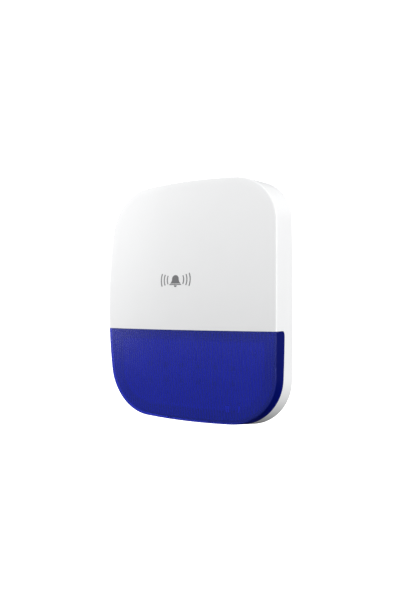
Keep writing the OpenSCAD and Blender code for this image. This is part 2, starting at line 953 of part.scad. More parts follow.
module chamber_outline(inset) {
    union() {
        translate([0, chamber_z])
            circle(r = chamber_r - inset);
        polygon([[-neck_half_w + inset, neck_z + 10], [neck_half_w - inset, neck_z + 10],
                 [neck_half_w - inset, neck_z], [mouth_half_w - inset, mouth_z - (inset > 0 ? 1 : 0)],
                 [-mouth_half_w + inset, mouth_z - (inset > 0 ? 1 : 0)], [-neck_half_w + inset, neck_z]]);
    }
}

module sounder_chamber() {
    color("black")
        difference() {
            union() {
                plate(deck, chamber_front)
                    chamber_outline(0);
                for (p = sounder_screw_at)
                    rod(p[0], p[1], 4, deck, chamber_front);
            }
            plate(deck + chamber_wall, chamber_front + 1)
                chamber_outline(chamber_wall);
            for (p = sounder_screw_at)
                rod(p[0], p[1], 1.25, chamber_front - 8, chamber_front + 1, $fn = screw_segments);
        }
}

module sounder_lid() {
    color("dimgray")
        difference() {
            union() {
                plate(chamber_front, chamber_front + 2)
                    chamber_outline(0);
                for (p = sounder_screw_at)
                    rod(p[0], p[1], 4, chamber_front, chamber_front + 2);
            }
            for (p = sounder_screw_at)
                rod(p[0], p[1], 1.6, chamber_front - 1, chamber_front + 3, $fn = screw_segments);
        }
}

module sounder_screws() {
    color("silver")
        for (p = sounder_screw_at)
            screw_along_y(p[0], p[1], chamber_front + 2, chamber_front - 7, 1.2, 2.6, 1.6);
}

module piezo_disc() {
    color("gold")
        union() {
            rod(0, chamber_z, 21, chamber_front - 5, chamber_front - 4.5);
            rod(0, chamber_z, 14, chamber_front - 4.6, chamber_front - 4.2);
            difference() {
                rod(0, chamber_z, 22.5, chamber_front - 5.2, chamber_front);
                rod(0, chamber_z, 20.5, chamber_front - 6, chamber_front + 1);
            }
        }
}

// ---------- Internal leads ----------

module strobe_lead() {
    color("red")
        sweep([[24, -22, -17.15], [24.1, -21.9, -18.4], [25, -21, -20], [28, -18.5, -23],
               [32, -16.5, -27], [36, -16, -33], [40, -16.5, -40], [42, -19, -46],
               [43, -24, -51], [43, -29, -56], [43, -32.2, -61], [43, -32.4, -66]], 1.1, 10);
}

module sounder_lead() {
    color("black")
        sweep([[0, -22, -17.15], [0, -21.9, -18.4], [-0.5, -21, -20], [-1, -18.5, -23], [-1, -16.6, -27],
               [-1, -16.3, -33], [-1, -17.3, -37.5], [-1, -18.3, -40], [-1, -18.4, -41.85]], 1.1, 10);
}

module battery_lead() {
    color("red")
        sweep([[24, -22.5, 53.1], [24, -22.4, 54.5], [23.6, -21.8, 56], [23, -21, 57.4], [22.8, -20.8, 58.6]],
              0.9, 10);
}

wall_bracket();
locking_screw();
rear_housing();
cable_grommet();
front_cover();
strobe_lens();
lens_seal();
lens_screws();
cover_screws();
cover_nuts();
battery_holder();
battery_contacts();
battery_cell_1();
battery_cell_2();
battery_cell_3();
battery_cell_4();
main_board();
board_screws();
radio_module();
antenna();
controller_chips();
capacitors();
step_up_coil();
terminal_block();
terminal_screws();
lead_sockets();
power_switch_body();
power_switch_slider();
pairing_switch_body();
pairing_button();
cover_tamper_switch();
cover_tamper_plunger();
cover_tamper_spring();
wall_tamper_switch();
wall_tamper_plunger();
wall_tamper_spring();
reflector();
reflector_screws();
led_board();
strobe_leds();
led_board_screws();
sounder_chamber();
sounder_lid();
sounder_screws();
piezo_disc();
strobe_lead();
sounder_lead();
battery_lead();
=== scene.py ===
import json
import math
import random

import bmesh
import bpy
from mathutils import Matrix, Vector


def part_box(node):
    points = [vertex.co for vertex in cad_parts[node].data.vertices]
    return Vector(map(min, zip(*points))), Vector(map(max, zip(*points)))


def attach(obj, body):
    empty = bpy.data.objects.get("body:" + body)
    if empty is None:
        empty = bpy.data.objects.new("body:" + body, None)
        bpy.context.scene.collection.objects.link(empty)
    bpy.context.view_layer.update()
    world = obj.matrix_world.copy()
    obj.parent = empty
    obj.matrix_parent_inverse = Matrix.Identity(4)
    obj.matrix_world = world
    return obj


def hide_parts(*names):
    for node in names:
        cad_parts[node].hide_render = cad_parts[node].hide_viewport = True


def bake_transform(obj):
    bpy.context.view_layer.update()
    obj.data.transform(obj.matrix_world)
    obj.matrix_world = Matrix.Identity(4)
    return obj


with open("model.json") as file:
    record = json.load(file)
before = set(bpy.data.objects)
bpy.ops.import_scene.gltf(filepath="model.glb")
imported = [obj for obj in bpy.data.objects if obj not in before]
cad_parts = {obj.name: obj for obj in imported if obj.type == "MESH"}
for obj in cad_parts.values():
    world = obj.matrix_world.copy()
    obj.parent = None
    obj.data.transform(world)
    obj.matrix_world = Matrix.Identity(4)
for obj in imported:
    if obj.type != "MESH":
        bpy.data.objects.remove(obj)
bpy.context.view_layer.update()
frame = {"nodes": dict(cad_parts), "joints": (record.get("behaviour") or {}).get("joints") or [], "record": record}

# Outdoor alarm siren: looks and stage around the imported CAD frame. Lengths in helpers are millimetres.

MM = 0.001


def frame_joint(name):
    return next(j for j in frame["joints"] if j["name"] == name)

# ---------- Dimensions, from the frame where the frame has them ----------

shell_low, shell_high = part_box("front_cover")
lens_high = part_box("strobe_lens")[1]
WIDTH = (shell_high.x - shell_low.x) / MM
HEIGHT = (shell_high.z - shell_low.z) / MM
WALL_GAP = -shell_high.y / MM
FRONT_DEPTH = -shell_low.y / MM
LENS_GAP = 0.15
SEAM_Z = lens_high.z / MM + LENS_GAP
FLANGE_REAR = -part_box("lens_screws")[1].y / MM + 1.7
JOINT_DEPTH = -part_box("lens_seal")[0].y / MM
WALL = 2.6
RIM_DEPTH = 42.0            # the front outline's values below hold this far in front of the rear edge
REAR = {"narrower": 0.0, "drop": 0.0, "rise": 0.0, "side_bow": 2.2, "top_r": 44.0, "bottom_r": 51.6}
RIM = {"narrower": 1.0, "drop": 1.8, "rise": 6.7, "side_bow": 6.3, "top_r": 52.6, "bottom_r": 54.2}
END_BOW = 5.8
CROWN_ACROSS = 522.0
CROWN_ALONG = 689.0
CROWN_Z = -7.0
LENS_CORNER = 5.5
RIM_FILLET = 1.7
INNER_FILLET = 0.7
RIB_PITCH = 3.2
FLANGE_W = 9.0
SHELF_T = 2.4
CENTRE = (0.0, SEAM_Z)                      # where the shell's rings of points start
LENS_CENTRE = (0.0, SEAM_Z - LENS_GAP)      # and the lens's

# Samples along a line from the centre of the front to the rear edge
RINGS = 26
FILLET_STEPS = 5
SIDE_STEPS = 6
BAND_STEPS = 6
JOINT_INDEX = RINGS + FILLET_STEPS + SIDE_STEPS
REAR_INDEX = JOINT_INDEX + BAND_STEPS
NEAREST_RING = 0.008        # share of the line at which its first sample stands

# Closing screws, hinge and sound slots
screws_low, screws_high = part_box("cover_screws")
SCREW_X = screws_high.x / MM - 3.4
SCREW_DEPTH = -(screws_low.y + screws_high.y) / 2 / MM
COUNTERBORE_R = 3.8
COUNTERBORE_DEEP = 6.4
HINGE_X = 32.4
hinge_place = frame_joint("cover_swing")["pos_m"]
HINGE_DEPTH = -hinge_place[1] / MM
HINGE_Z = hinge_place[2] / MM
SLOTS = 13
SLOT_PITCH = 7.0
SLOT_HALF = 1.5
SLOT_LONG = 8.5

# Upright ribs behind the lens's lower right: middle (x, z) and lean
LENS_POSTS = ((48.8, -111.0, 0.0), (50.9, -111.0, 0.0), (62.9, -110.5, 0.25))
POST_TALL = 6.4
POST_HALF = 0.6
POST_DEEP = 3.0

# Bell mark on the front
MARK_CENTRE = (-6.0, 24.5)
MARK_RISE = 0.14

# Levels of the surround, from straight down to straight up, and from in front to behind
WORLD_BY_HEIGHT = ((0.0, 0.04), (0.36, 0.10), (0.54, 0.84), (1.0, 0.64))
WORLD_BY_DEPTH = ((0.0, 1.0), (0.5, 0.84), (0.72, 0.14), (1.0, 0.12))
WORLD_STRENGTH = 1.68

# Soft lights: (turn, height) in degrees, distance, size and power
KEY_LIGHT = {"turn": -68, "height": 18, "distance": 1.8, "size": (1.2, 1.8), "power": 12.7}
SIDE_LIGHT = {"turn": 104, "height": 12, "distance": 1.9, "size": (1.8, 1.8), "power": 28.5}

# The pictured view: 29.5 degrees round to the right, almost level
VIEW_TURN = 29.5
VIEW_TILT = -0.65
VIEW_DISTANCE = 0.61
VIEW_LENS = 31.57
VIEW_SHIFT = (-0.0072, 0.0043)

# Floor: flat to its bend, which turns up into a backdrop
FLOOR_DROP = 260.0
FLOOR_FLAT = 900
FLOOR_BEND = 600
BACKDROP_TOP = 2600


# ---------- The housing's form ----------

def drafted(name, depth):
    return REAR[name] + (RIM[name] - REAR[name]) * (depth - WALL_GAP) / RIM_DEPTH


def bow_radius(length, bow):
    return (length * length / 4 + bow * bow) / (2 * bow)


def crossing(c1, r1, c2, r2):
    """Right-hand crossing of two circles."""
    dx, dz = c2[0] - c1[0], c2[1] - c1[1]
    d = math.hypot(dx, dz)
    a = (r1 * r1 - r2 * r2 + d * d) / (2 * d)
    h = math.sqrt(r1 * r1 - a * a)
    mid = (c1[0] + a * dx / d, c1[1] + a * dz / d)
    ends = [(mid[0] - s * h * dz / d, mid[1] + s * h * dx / d) for s in (1, -1)]
    return max(ends)


def heading(a, b):
    return math.atan2(b[1] - a[1], b[0] - a[0])


outlines = {}      # outlines already worked out, by depth


def outline_arcs(depth):
    """Right half of the outline at a depth, as arcs (centre, radius, low angle, high angle)."""
    key = round(depth, 4)
    if key not in outlines:
        w = WIDTH - 2 * drafted("narrower", depth)
        top = HEIGHT / 2 - drafted("drop", depth)
        bottom = -HEIGHT / 2 + drafted("rise", depth)
        r_side = bow_radius(top - bottom, drafted("side_bow", depth))
        r_end = bow_radius(w, END_BOW)
        rt, rb = drafted("top_r", depth), drafted("bottom_r", depth)
        side = (w / 2 - r_side, (top + bottom) / 2)
        over, under = (0.0, top - r_end), (0.0, bottom + r_end)
        ct = crossing(side, r_side - rt, over, r_end - rt)
        cb = crossing(side, r_side - rb, under, r_end - rb)
        turns = [math.pi / 2, heading(over, ct), heading(side, ct),
                 heading(side, cb), heading(under, cb), -math.pi / 2]
        outlines[key] = [(over, r_end, turns[1], turns[0]), (ct, rt, turns[2], turns[1]),
                         (side, r_side, turns[3], turns[2]), (cb, rb, turns[4], turns[3]),
                         (under, r_end, turns[5], turns[4])]
    return outlines[key]


def ray_hit(origin, angle, depth, inset=0.0):
    """Distance from origin, inside the outline, to the outline along a direction in the XZ plane."""
    ox, oz = origin
    ux, uz = math.cos(angle), math.sin(angle)
    if ux < 0:
        ox, ux = -ox, -ux
    best = None
    for (cx, cz), r, low, high in outline_arcs(depth):
        r -= inset
        fx, fz = ox - cx, oz - cz
        b = fx * ux + fz * uz
        disc = b * b - fx * fx - fz * fz + r * r
        if disc < 0:
            continue
        t = -b + math.sqrt(disc)
        turn = math.atan2(fz + t * uz, fx + t * ux)
        miss = max(low - turn, turn - high, 0.0)
        if best is None or miss < best[0]:
            best = (miss, t)
    return best[1]


def crown_depth(x, z, inset=0.0):
    """Depth of the doubly crowned front at (x, z)."""
    r = CROWN_ACROSS - CROWN_ALONG + math.sqrt((CROWN_ALONG - inset) ** 2 - (z - CROWN_Z) ** 2)
    return FRONT_DEPTH - CROWN_ACROSS + math.sqrt(r * r - x * x)


def polar(centre, angle, radius):
    return centre[0] + radius * math.cos(angle), centre[1] + radius * math.sin(angle)


def rim_depth(centre, angle, inset):
    """Depth at which the front meets the side in a direction."""
    depth = 46.0
    for _ in range(8):
        depth = crown_depth(*polar(centre, angle, ray_hit(centre, angle, depth, inset)), inset)
    return depth


def joint_at(z, gap):
    """Depth of the lens joint at a height, round the lens's upper rear corner."""
    down = SEAM_Z - gap - z
    if down >= LENS_CORNER:
        return JOINT_DEPTH + gap
    rise = LENS_CORNER - math.sqrt(max(LENS_CORNER ** 2 - (LENS_CORNER - down) ** 2, 0.0))
    return JOINT_DEPTH + gap + rise


def station(centre, angle, inset, fillet, joint, rear):
    """Points from the centre of the front to the rear edge, in one direction."""
    deep = rim_depth(centre, angle, inset)
    start = ray_hit(centre, angle, deep, inset + fillet)
    points = []
    for k in range(RINGS):
        x, z = polar(centre, angle, start * max(k / RINGS, NEAREST_RING))
        points.append((x, crown_depth(x, z, inset), z))
    for k in range(FILLET_STEPS + 1):
        turn = math.pi / 2 * k / FILLET_STEPS
        inward, back = fillet * (1 - math.sin(turn)), fillet * (1 - math.cos(turn))
        x, z = polar(centre, angle, ray_hit(centre, angle, deep - back, inset + inward))
        points.append((x, crown_depth(x, z, inset) - back, z))
    edge = points[-1][1]
    for stop, steps in ((joint, SIDE_STEPS), (rear, BAND_STEPS)):
        if stop is None:
            break
        for k in range(1, steps + 1):
            depth = edge + (stop - edge) * k / steps
            x, z = polar(centre, angle, ray_hit(centre, angle, depth, inset))
            points.append((x, depth, z))
        edge = stop
    return points


def angles(upper):
    """Directions round one half, closer together beside the lens's rounded corners."""
    if upper:
        return [math.pi * i / 150 for i in range(151)]
    reach = WIDTH / 2
    near = [math.atan2(-LENS_CORNER * f, reach) for f in (0.0, 0.03, 0.12, 0.27, 0.48, 0.73, 1.0)]
    far = [near[-1] - (math.pi + 2 * near[-1]) * i / 140 for i in range(1, 140)]
    return near + far + [-math.pi - a for a in reversed(near)]


# ---------- Mesh helpers ----------

def to_space(point):
    x, depth, z = point
    return Vector((x * MM, -depth * MM, z * MM))


def new_piece(name, bm, body, material, smooth=35.0, bevel=0.0, segments=2):
    """Turns a bmesh into a shown piece on a CAD body."""
    mesh = bpy.data.meshes.new(name)
    bmesh.ops.recalc_face_normals(bm, faces=bm.faces)
    bm.to_mesh(mesh)
    bm.free()
    obj = bpy.data.objects.new(name, mesh)
    bpy.context.scene.collection.objects.link(obj)
    mesh.materials.append(material)
    mesh.shade_smooth()
    mesh.set_sharp_from_angle(angle=math.radians(smooth))
    if bevel:
        soften(obj, bevel, segments)
    if body:
        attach(obj, body)
    return obj


def soften(obj, width, segments=2, weld=False):
    """Rounds an object's sharp edges a little."""
    if weld:
        join = obj.modifiers.new("weld", "WELD")
        join.merge_threshold = 1e-5
    edge = obj.modifiers.new("edges", "BEVEL")
    edge.width = width * MM
    edge.segments = segments
    edge.limit_method = "ANGLE"
    edge.angle_limit = math.radians(40)
    edge.harden_normals = True
    edge.use_clamp_overlap = True


def grid_faces(bm, rows, flip=False):
    """Quads between neighbouring rows of vertices."""
    for a, b in zip(rows, rows[1:]):
        for k in range(len(a) - 1):
            quad = [a[k], a[k + 1], b[k + 1], b[k]]
            if len(set(quad)) > 2:
                bm.faces.new(quad[::-1] if flip else quad)


def add_rows(bm, rows):
    return [[bm.verts.new(to_space(p)) for p in row] for row in rows]


def ring_walls(bm, outer, inner, first, last):
    """Closes outer and inner rows into a shell from sample first to sample last."""
    grid_faces(bm, [row[first:last + 1] for row in outer])
    grid_faces(bm, [row[first:last + 1] for row in inner], flip=True)
    for k in (first, last):
        if k:
            grid_faces(bm, [[o[k], i[k]] for o, i in zip(outer, inner)])


def end_caps(bm, outer, inner, first, last):
    """Faces that close a half shell in the seam's plane, and the small half discs at the centre."""
    for row in (0, -1):
        grid_faces(bm, [outer[row][first:last + 1], inner[row][first:last + 1]])
    bm.faces.new([outer[0][0], inner[0][0], inner[-1][0], outer[-1][0]])
    for rows in (outer, inner):
        bm.faces.new([row[0] for row in rows])


def box_verts(bm, low, high):
    """Adds a box between two corners given as (x, depth, z)."""
    corners = [bm.verts.new(to_space((x, d, z)))
               for x in (low[0], high[0]) for d in (low[1], high[1]) for z in (low[2], high[2])]
    for quad in ((0, 1, 3, 2), (4, 6, 7, 5), (0, 4, 5, 1), (2, 3, 7, 6), (0, 2, 6, 4), (1, 5, 7, 3)):
        bm.faces.new([corners[k] for k in quad])


def lathe(bm, profile, origin, axis, steps=40):
    """Turns a profile of (radius, along) about an axis in space, from an origin given as (x, depth, z)."""
    axis = Vector(axis).normalized()
    side = axis.orthogonal().normalized()
    other = axis.cross(side)
    base = to_space(origin)
    rows = []
    for r, along in profile:
        centre = base + axis * along * MM
        if r <= 0:
            rows.append([bm.verts.new(centre)] * (steps + 1))
            continue
        ring = [bm.verts.new(centre + (side * math.cos(t) + other * math.sin(t)) * r * MM)
                for t in (2 * math.pi * k / steps for k in range(steps))]
        rows.append(ring + ring[:1])
    for a, b in zip(rows, rows[1:]):
        for k in range(steps):
            corners = []
            for v in (a[k], a[k + 1], b[k + 1], b[k]):
                if v not in corners:
                    corners.append(v)
            if len(corners) > 2:
                bm.faces.new(corners)


def tube(bm, path, radius, sides=12):
    """Round tube swept along points given in space, closed at both ends."""
    rows = []
    side = None
    for k, p in enumerate(path):
        way = (path[min(k + 1, len(path) - 1)] - path[max(k - 1, 0)]).normalized()
        side = (side - way * side.dot(way)).normalized() if side else way.orthogonal().normalized()
        other = way.cross(side)
        ring = [bm.verts.new(p + (side * math.cos(t) + other * math.sin(t)) * radius)
                for t in (2 * math.pi * s / sides for s in range(sides))]
        rows.append(ring + ring[:1])
    grid_faces(bm, rows)
    bm.faces.new(rows[0][:-1])
    bm.faces.new(rows[-1][:-1])


# ---------- Materials ----------

class Look:
    """A node material with a Principled shader and object-space coordinates in millimetres."""

    def __init__(self, name, colour, roughness=0.4, metallic=0.0):
        self.material = bpy.data.materials.new(name)
        self.material.use_nodes = True
        self.tree = self.material.node_tree
        self.shader = self.tree.nodes["Principled BSDF"]
        self.shader.inputs["Base Color"].default_value = (*colour, 1)
        self.shader.inputs["Roughness"].default_value = roughness
        self.shader.inputs["Metallic"].default_value = metallic
        self.colour = colour
        self.height = None
        coords = self.node("ShaderNodeTexCoord")
        scale = self.node("ShaderNodeVectorMath")
        scale.operation = "SCALE"
        scale.inputs["Scale"].default_value = 1 / MM
        self.link(coords.outputs["Object"], scale.inputs[0])
        self.place = scale.outputs["Vector"]

    def node(self, kind, **values):
        made = self.tree.nodes.new(kind)
        for key, value in values.items():
            if key in made.inputs:
                made.inputs[key].default_value = value
            else:
                setattr(made, key, value)
        return made

    def link(self, a, b):
        self.tree.links.new(a, b)

    def stretched(self, scale):
        mapping = self.node("ShaderNodeMapping")
        mapping.inputs["Scale"].default_value = scale
        self.link(self.place, mapping.inputs["Vector"])
        return mapping.outputs["Vector"]

    def noise(self, per_mm, detail=3.0, scale=None):
        made = self.node("ShaderNodeTexNoise", Scale=per_mm, Detail=detail)
        self.link(self.stretched(scale) if scale else self.place, made.inputs["Vector"])
        return made.outputs["Fac"]

    def ramp(self, value, stops):
        made = self.node("ShaderNodeValToRGB")
        elements = made.color_ramp.elements
        while len(elements) < len(stops):
            elements.new(0.5)
        for element, (position, colour) in zip(elements, stops):
            element.position = position
            element.color = (*colour, 1) if len(colour) == 3 else colour
        self.link(value, made.inputs["Fac"])
        return made.outputs["Color"]

    def spread(self, value, low, high):
        made = self.node("ShaderNodeMapRange")
        made.inputs["To Min"].default_value = low
        made.inputs["To Max"].default_value = high
        self.link(value, made.inputs["Value"])
        return made.outputs["Result"]

    def mix(self, factor, a, b):
        made = self.node("ShaderNodeMix")
        made.data_type = "RGBA"
        for socket, value in ((made.inputs[0], factor), (made.inputs[6], a), (made.inputs[7], b)):
            if isinstance(value, (tuple, float)):
                socket.default_value = (*value, 1) if isinstance(value, tuple) else value
            else:
                self.link(value, socket)
        return made.outputs[2]

    def maths(self, operation, a, b):
        made = self.node("ShaderNodeMath")
        made.operation = operation
        for socket, value in zip(made.inputs, (a, b)):
            if isinstance(value, (int, float)):
                socket.default_value = value
            else:
                self.link(value, socket)
        return made.outputs["Value"]

    def set(self, name, value):
        if isinstance(value, (int, float)):
            self.shader.inputs[name].default_value = value
        elif isinstance(value, tuple):
            self.shader.inputs[name].default_value = (*value, 1)
        else:
            self.link(value, self.shader.inputs[name])
        return self

    def bump(self, value, height, strength=1.0):
        made = self.node("ShaderNodeBump", Strength=strength, Distance=height * MM)
        self.link(value, made.inputs["Height"])
        self.link(made.outputs["Normal"], self.shader.inputs["Normal"])
        return self

    def vary(self, amount, per_mm=0.03):
        """Slow variation of the colour."""
        dark = tuple(c * (1 - amount) for c in self.colour)
        light = tuple(min(c * (1 + amount), 1.0) for c in self.colour)
        return self.set("Base Color", self.ramp(self.noise(per_mm), [(0.3, dark), (0.7, light)]))


def plastic(name, colour, roughness=0.42, grain=2.2, depth=0.012, vary=0.02):
    look = Look(name, colour, roughness)
    look.vary(vary)
    fine = look.noise(grain, 4.0)
    look.set("Roughness", look.spread(fine, roughness - 0.06, roughness + 0.06))
    return look.bump(fine, depth, 0.6)


def metal(name, colour, roughness=0.3, brushed=None, vary=0.08):
    look = Look(name, colour, roughness, 1.0)
    look.vary(vary, 0.4)
    lines = look.noise(1.5, 5.0, brushed or (1, 1, 1))
    look.set("Roughness", look.spread(lines, roughness - 0.06, roughness + 0.08))
    return look.bump(lines, 0.004, 0.5)


def white_shell_look():
    look = plastic("white_shell", (0.86, 0.865, 0.87), 0.4, 3.0, 0.006, 0.006)
    look.set("Specular IOR Level", 0.45)
    return look.material


def lens_look(name, deep, clear, see_through, ribs=0.0, ior=1.5):
    """Blue polycarbonate: a glossy body colour over a clear blue that lets the inside show. With ribs, its colour
    is striped at the flute pitch: painted shade and light of the flutes.
    """
    look = Look(name, deep, 0.2)
    cloud = look.noise(0.02, 2.0)
    # With ribs above nought, the colour takes darker and lighter upright bands at the flute pitch and a deeper
    # dark stop: painted shade and light of the flutes.
    if ribs:
        wave = look.node("ShaderNodeTexWave", Scale=math.pi / (10 * RIB_PITCH), Distortion=0.0)
        look.link(look.place, wave.inputs["Vector"])
        cloud = look.mix(ribs, cloud, wave.outputs["Fac"])
    shade = 0.6 if ribs else 0.8
    dark = tuple(c * shade for c in deep)
    look.set("Base Color", look.ramp(cloud, [(0.2, dark), (0.8, deep)]))
    look.set("Roughness", look.spread(look.noise(0.08, 2.0), 0.27, 0.32))
    look.set("IOR", ior)
    look.bump(look.noise(0.25, 2.0), 0.002, 0.3)
    clear_node = look.node("ShaderNodeBsdfTransparent")
    clear_node.inputs["Color"].default_value = (*clear, 1)
    mixed = look.node("ShaderNodeMixShader")
    mixed.inputs["Fac"].default_value = see_through
    look.link(look.shader.outputs["BSDF"], mixed.inputs[1])
    look.link(clear_node.outputs["BSDF"], mixed.inputs[2])
    look.link(mixed.outputs["Shader"], look.tree.nodes["Material Output"].inputs["Surface"])
    return look.material


def board_look(name, mask, copper):
    """Printed board: solder mask over tracks, with tinned pads."""
    look = Look(name, mask, 0.32)
    cells = look.node("ShaderNodeTexBrick", Scale=0.12)
    cells.inputs["Color1"].default_value = (0, 0, 0, 1)
    cells.inputs["Color2"].default_value = (0.25, 0.25, 0.25, 1)
    cells.inputs["Mortar"].default_value = (1, 1, 1, 1)
    cells.inputs["Mortar Size"].default_value = 0.035
    cells.offset = 0.35
    swap = look.node("ShaderNodeMapping")
    swap.inputs["Rotation"].default_value = (math.radians(90), 0, 0)
    look.link(look.place, swap.inputs["Vector"])
    look.link(swap.outputs["Vector"], cells.inputs["Vector"])
    look.set("Base Color", look.mix(cells.outputs["Fac"], mask, copper))
    look.set("Roughness", look.spread(look.noise(0.5), 0.26, 0.4))
    look.set("Coat Weight", 0.4)
    return look.bump(cells.outputs["Fac"], 0.05, 0.5).material


def sleeve_look(name, colour, band):
    """Shrink sleeve with a plain band round one end and fine creases."""
    look = Look(name, colour, 0.28)
    creases = look.noise(0.35, 5.0, (1, 4, 4))
    split = look.node("ShaderNodeSeparateXYZ")
    look.link(look.place, split.inputs["Vector"])
    along = look.spread(look.maths("DIVIDE", look.maths("ABSOLUTE", split.outputs["X"], 0), 40), 0.0, 1.0)
    look.set("Base Color", look.ramp(along, [(0.0, colour), (0.60, colour), (0.61, band),
                                             (0.74, band), (0.75, colour)]))
    look.set("Roughness", look.spread(creases, 0.2, 0.38))
    return look.bump(creases, 0.05, 0.5).material


LOOKS = {
    "white_shell": white_shell_look(),
    "white_plastic": plastic("white_plastic", (0.74, 0.745, 0.75), 0.5, 1.6, 0.02).material,
    "bracket_plastic": plastic("bracket_plastic", (0.66, 0.665, 0.67), 0.52, 1.4, 0.02).material,
    "blue_lens": lens_look("blue_lens", (0.042, 0.066, 0.56), (0.45, 0.5, 0.99), 0.6),
    # Darker, less clear copy of the lens for its side and top walls and rounded edges: painted shade.
    "blue_lens_painted_shade": lens_look("blue_lens_painted_shade", (0.001, 0.006, 0.17), (0.06, 0.08, 0.8), 0.3, ior=1.2),
    "blue_lens_inner": lens_look("blue_lens_inner", (0.01, 0.02, 0.4), (0.5, 0.55, 1.0), 0.94),
    "blue_lens_ribs_painted_shade": lens_look("blue_lens_ribs_painted_shade", (0.02, 0.04, 0.68), (0.4, 0.45, 0.98), 0.5, 0.95, 1.02),
    "pale_blue": plastic("pale_blue", (0.3, 0.34, 0.92), 0.4, 2.0, 0.01).material,
    "rubber": plastic("rubber", (0.03, 0.03, 0.032), 0.75, 1.0, 0.04, 0.15).material,
    "steel": metal("steel", (0.58, 0.58, 0.6), 0.32, (1, 6, 1)).material,
    "nickel": metal("nickel", (0.72, 0.7, 0.66), 0.22).material,
    "brass_parts": metal("brass_parts", (0.72, 0.47, 0.2), 0.28).material,
    "black_plastic": plastic("black_plastic", (0.025, 0.025, 0.028), 0.45, 1.5, 0.025, 0.12).material,
    "cell_sleeve": sleeve_look("cell_sleeve", (0.08, 0.16, 0.36), (0.72, 0.74, 0.77)),
    "circuit_board": board_look("circuit_board", (0.008, 0.13, 0.055), (0.02, 0.24, 0.1)),
    "white_board": board_look("white_board", (0.82, 0.82, 0.8), (0.7, 0.71, 0.7)),
    "capacitor_sleeve": sleeve_look("capacitor_sleeve", (0.02, 0.03, 0.07), (0.05, 0.06, 0.12)),
    "green_plastic": plastic("green_plastic", (0.04, 0.32, 0.1), 0.38, 1.5, 0.02, 0.06).material,
    "ivory_plastic": plastic("ivory_plastic", (0.78, 0.74, 0.62), 0.45, 1.5, 0.02, 0.03).material,
    "red_plastic": plastic("red_plastic", (0.62, 0.03, 0.025), 0.35, 1.5, 0.02, 0.06).material,
    "reflector_silver": metal("reflector_silver", (0.86, 0.87, 0.89), 0.2, vary=0.02).material,
    "led_yellow": plastic("led_yellow", (0.88, 0.74, 0.2), 0.2, 1.0, 0.01, 0.04).material,
    "lead_red": plastic("lead_red", (0.5, 0.02, 0.02), 0.4, 2.0, 0.02, 0.05).material,
    "lead_black": plastic("lead_black", (0.02, 0.02, 0.02), 0.4, 2.0, 0.02, 0.05).material,
    "mark_ink": plastic("mark_ink", (0.16, 0.163, 0.17), 0.5, 2.0, 0.004, 0.05).material,
}


def dress_cad_nodes():
    """Gives every CAD node its slot's look, and all but the springs and leads slightly rounded edges."""
    fine = {"lead_sockets", "controller_chips", "radio_module", "terminal_screws", "strobe_leds",
            "power_switch_slider", "power_switch_body", "pairing_button", "pairing_switch_body",
            "piezo_disc", "battery_contacts"}
    plain = {"cover_tamper_spring", "wall_tamper_spring", "strobe_lead", "sounder_lead", "battery_lead"}
    for entry in frame["record"]["subparts"]:
        obj = frame["nodes"][entry["node"]]
        look = LOOKS[entry["material_slot"]]
        for k in range(len(obj.material_slots)):
            obj.material_slots[k].material = look
        if not obj.material_slots:
            obj.data.materials.append(look)
        if entry["node"] not in plain:
            soften(obj, 0.08 if entry["node"] in fine else 0.25, weld=True)


# ---------- Shell and lens ----------

def cut(obj, bm_cutter):
    """Takes the cutter's solids out of an object's mesh."""
    mesh = bpy.data.meshes.new("cutter")
    bmesh.ops.recalc_face_normals(bm_cutter, faces=bm_cutter.faces)
    bm_cutter.to_mesh(mesh)
    bm_cutter.free()
    cutter = bpy.data.objects.new("cutter", mesh)
    bpy.context.scene.collection.objects.link(cutter)
    step = obj.modifiers.new("cut", "BOOLEAN")
    step.operation = "DIFFERENCE"
    step.solver = "EXACT"
    step.object = cutter
    bpy.context.view_layer.update()
    result = bpy.data.meshes.new_from_object(obj.evaluated_get(bpy.context.evaluated_depsgraph_get()))
    obj.modifiers.remove(step)
    obj.data = result
    bpy.data.objects.remove(cutter)


def half_shell(bm, centre, gap, upper):
    turns = angles(upper)
    outer, inner = [], []
    for turn in turns:
        side_z = centre[1] + ray_hit(centre, turn, JOINT_DEPTH) * math.sin(turn)
        joint = joint_at(SEAM_Z - gap if upper else side_z, gap)
        rear = WALL_GAP if gap == 0 else None
        outer.append(station(centre, turn, 0.0, RIM_FILLET, joint, rear))
        inner.append(station(centre, turn, WALL, INNER_FILLET, joint, rear))
    return add_rows(bm, outer), add_rows(bm, inner)


def front_cover():
    bm = bmesh.new()
    outer, inner = half_shell(bm, CENTRE, 0.0, True)
    ring_walls(bm, outer, inner, 0, REAR_INDEX)
    end_caps(bm, outer, inner, 0, JOINT_INDEX)
    outer, inner = half_shell(bm, CENTRE, 0.0, False)
    ring_walls(bm, outer, inner, JOINT_INDEX, REAR_INDEX)
    for rows in (outer, inner):
        bmesh.ops.delete(bm, geom=[v for row in rows for v in row[:JOINT_INDEX]], context="VERTS")
    bmesh.ops.remove_doubles(bm, verts=bm.verts, dist=2e-6)
    obj = new_piece("shell", bm, "cover", LOOKS["white_shell"])
    cutter = bmesh.new()
    slot_front = FLANGE_REAR - 1
    for i in range(SLOTS):
        x = (i - (SLOTS - 1) / 2) * SLOT_PITCH
        rounded_slot(cutter, x, SLOT_HALF, slot_front - SLOT_LONG, slot_front)
    for side in (-1, 1):
        lathe(cutter, [(0, 0), (COUNTERBORE_R, 0), (COUNTERBORE_R, COUNTERBORE_DEEP), (0, COUNTERBORE_DEEP)],
              (side * SCREW_X, SCREW_DEPTH, -HEIGHT / 2), (0, 0, 1), 48)
    cut(obj, cutter)
    obj.data.shade_smooth()
    obj.data.set_sharp_from_angle(angle=math.radians(35))
    soften(obj, 0.3)
    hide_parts("front_cover")


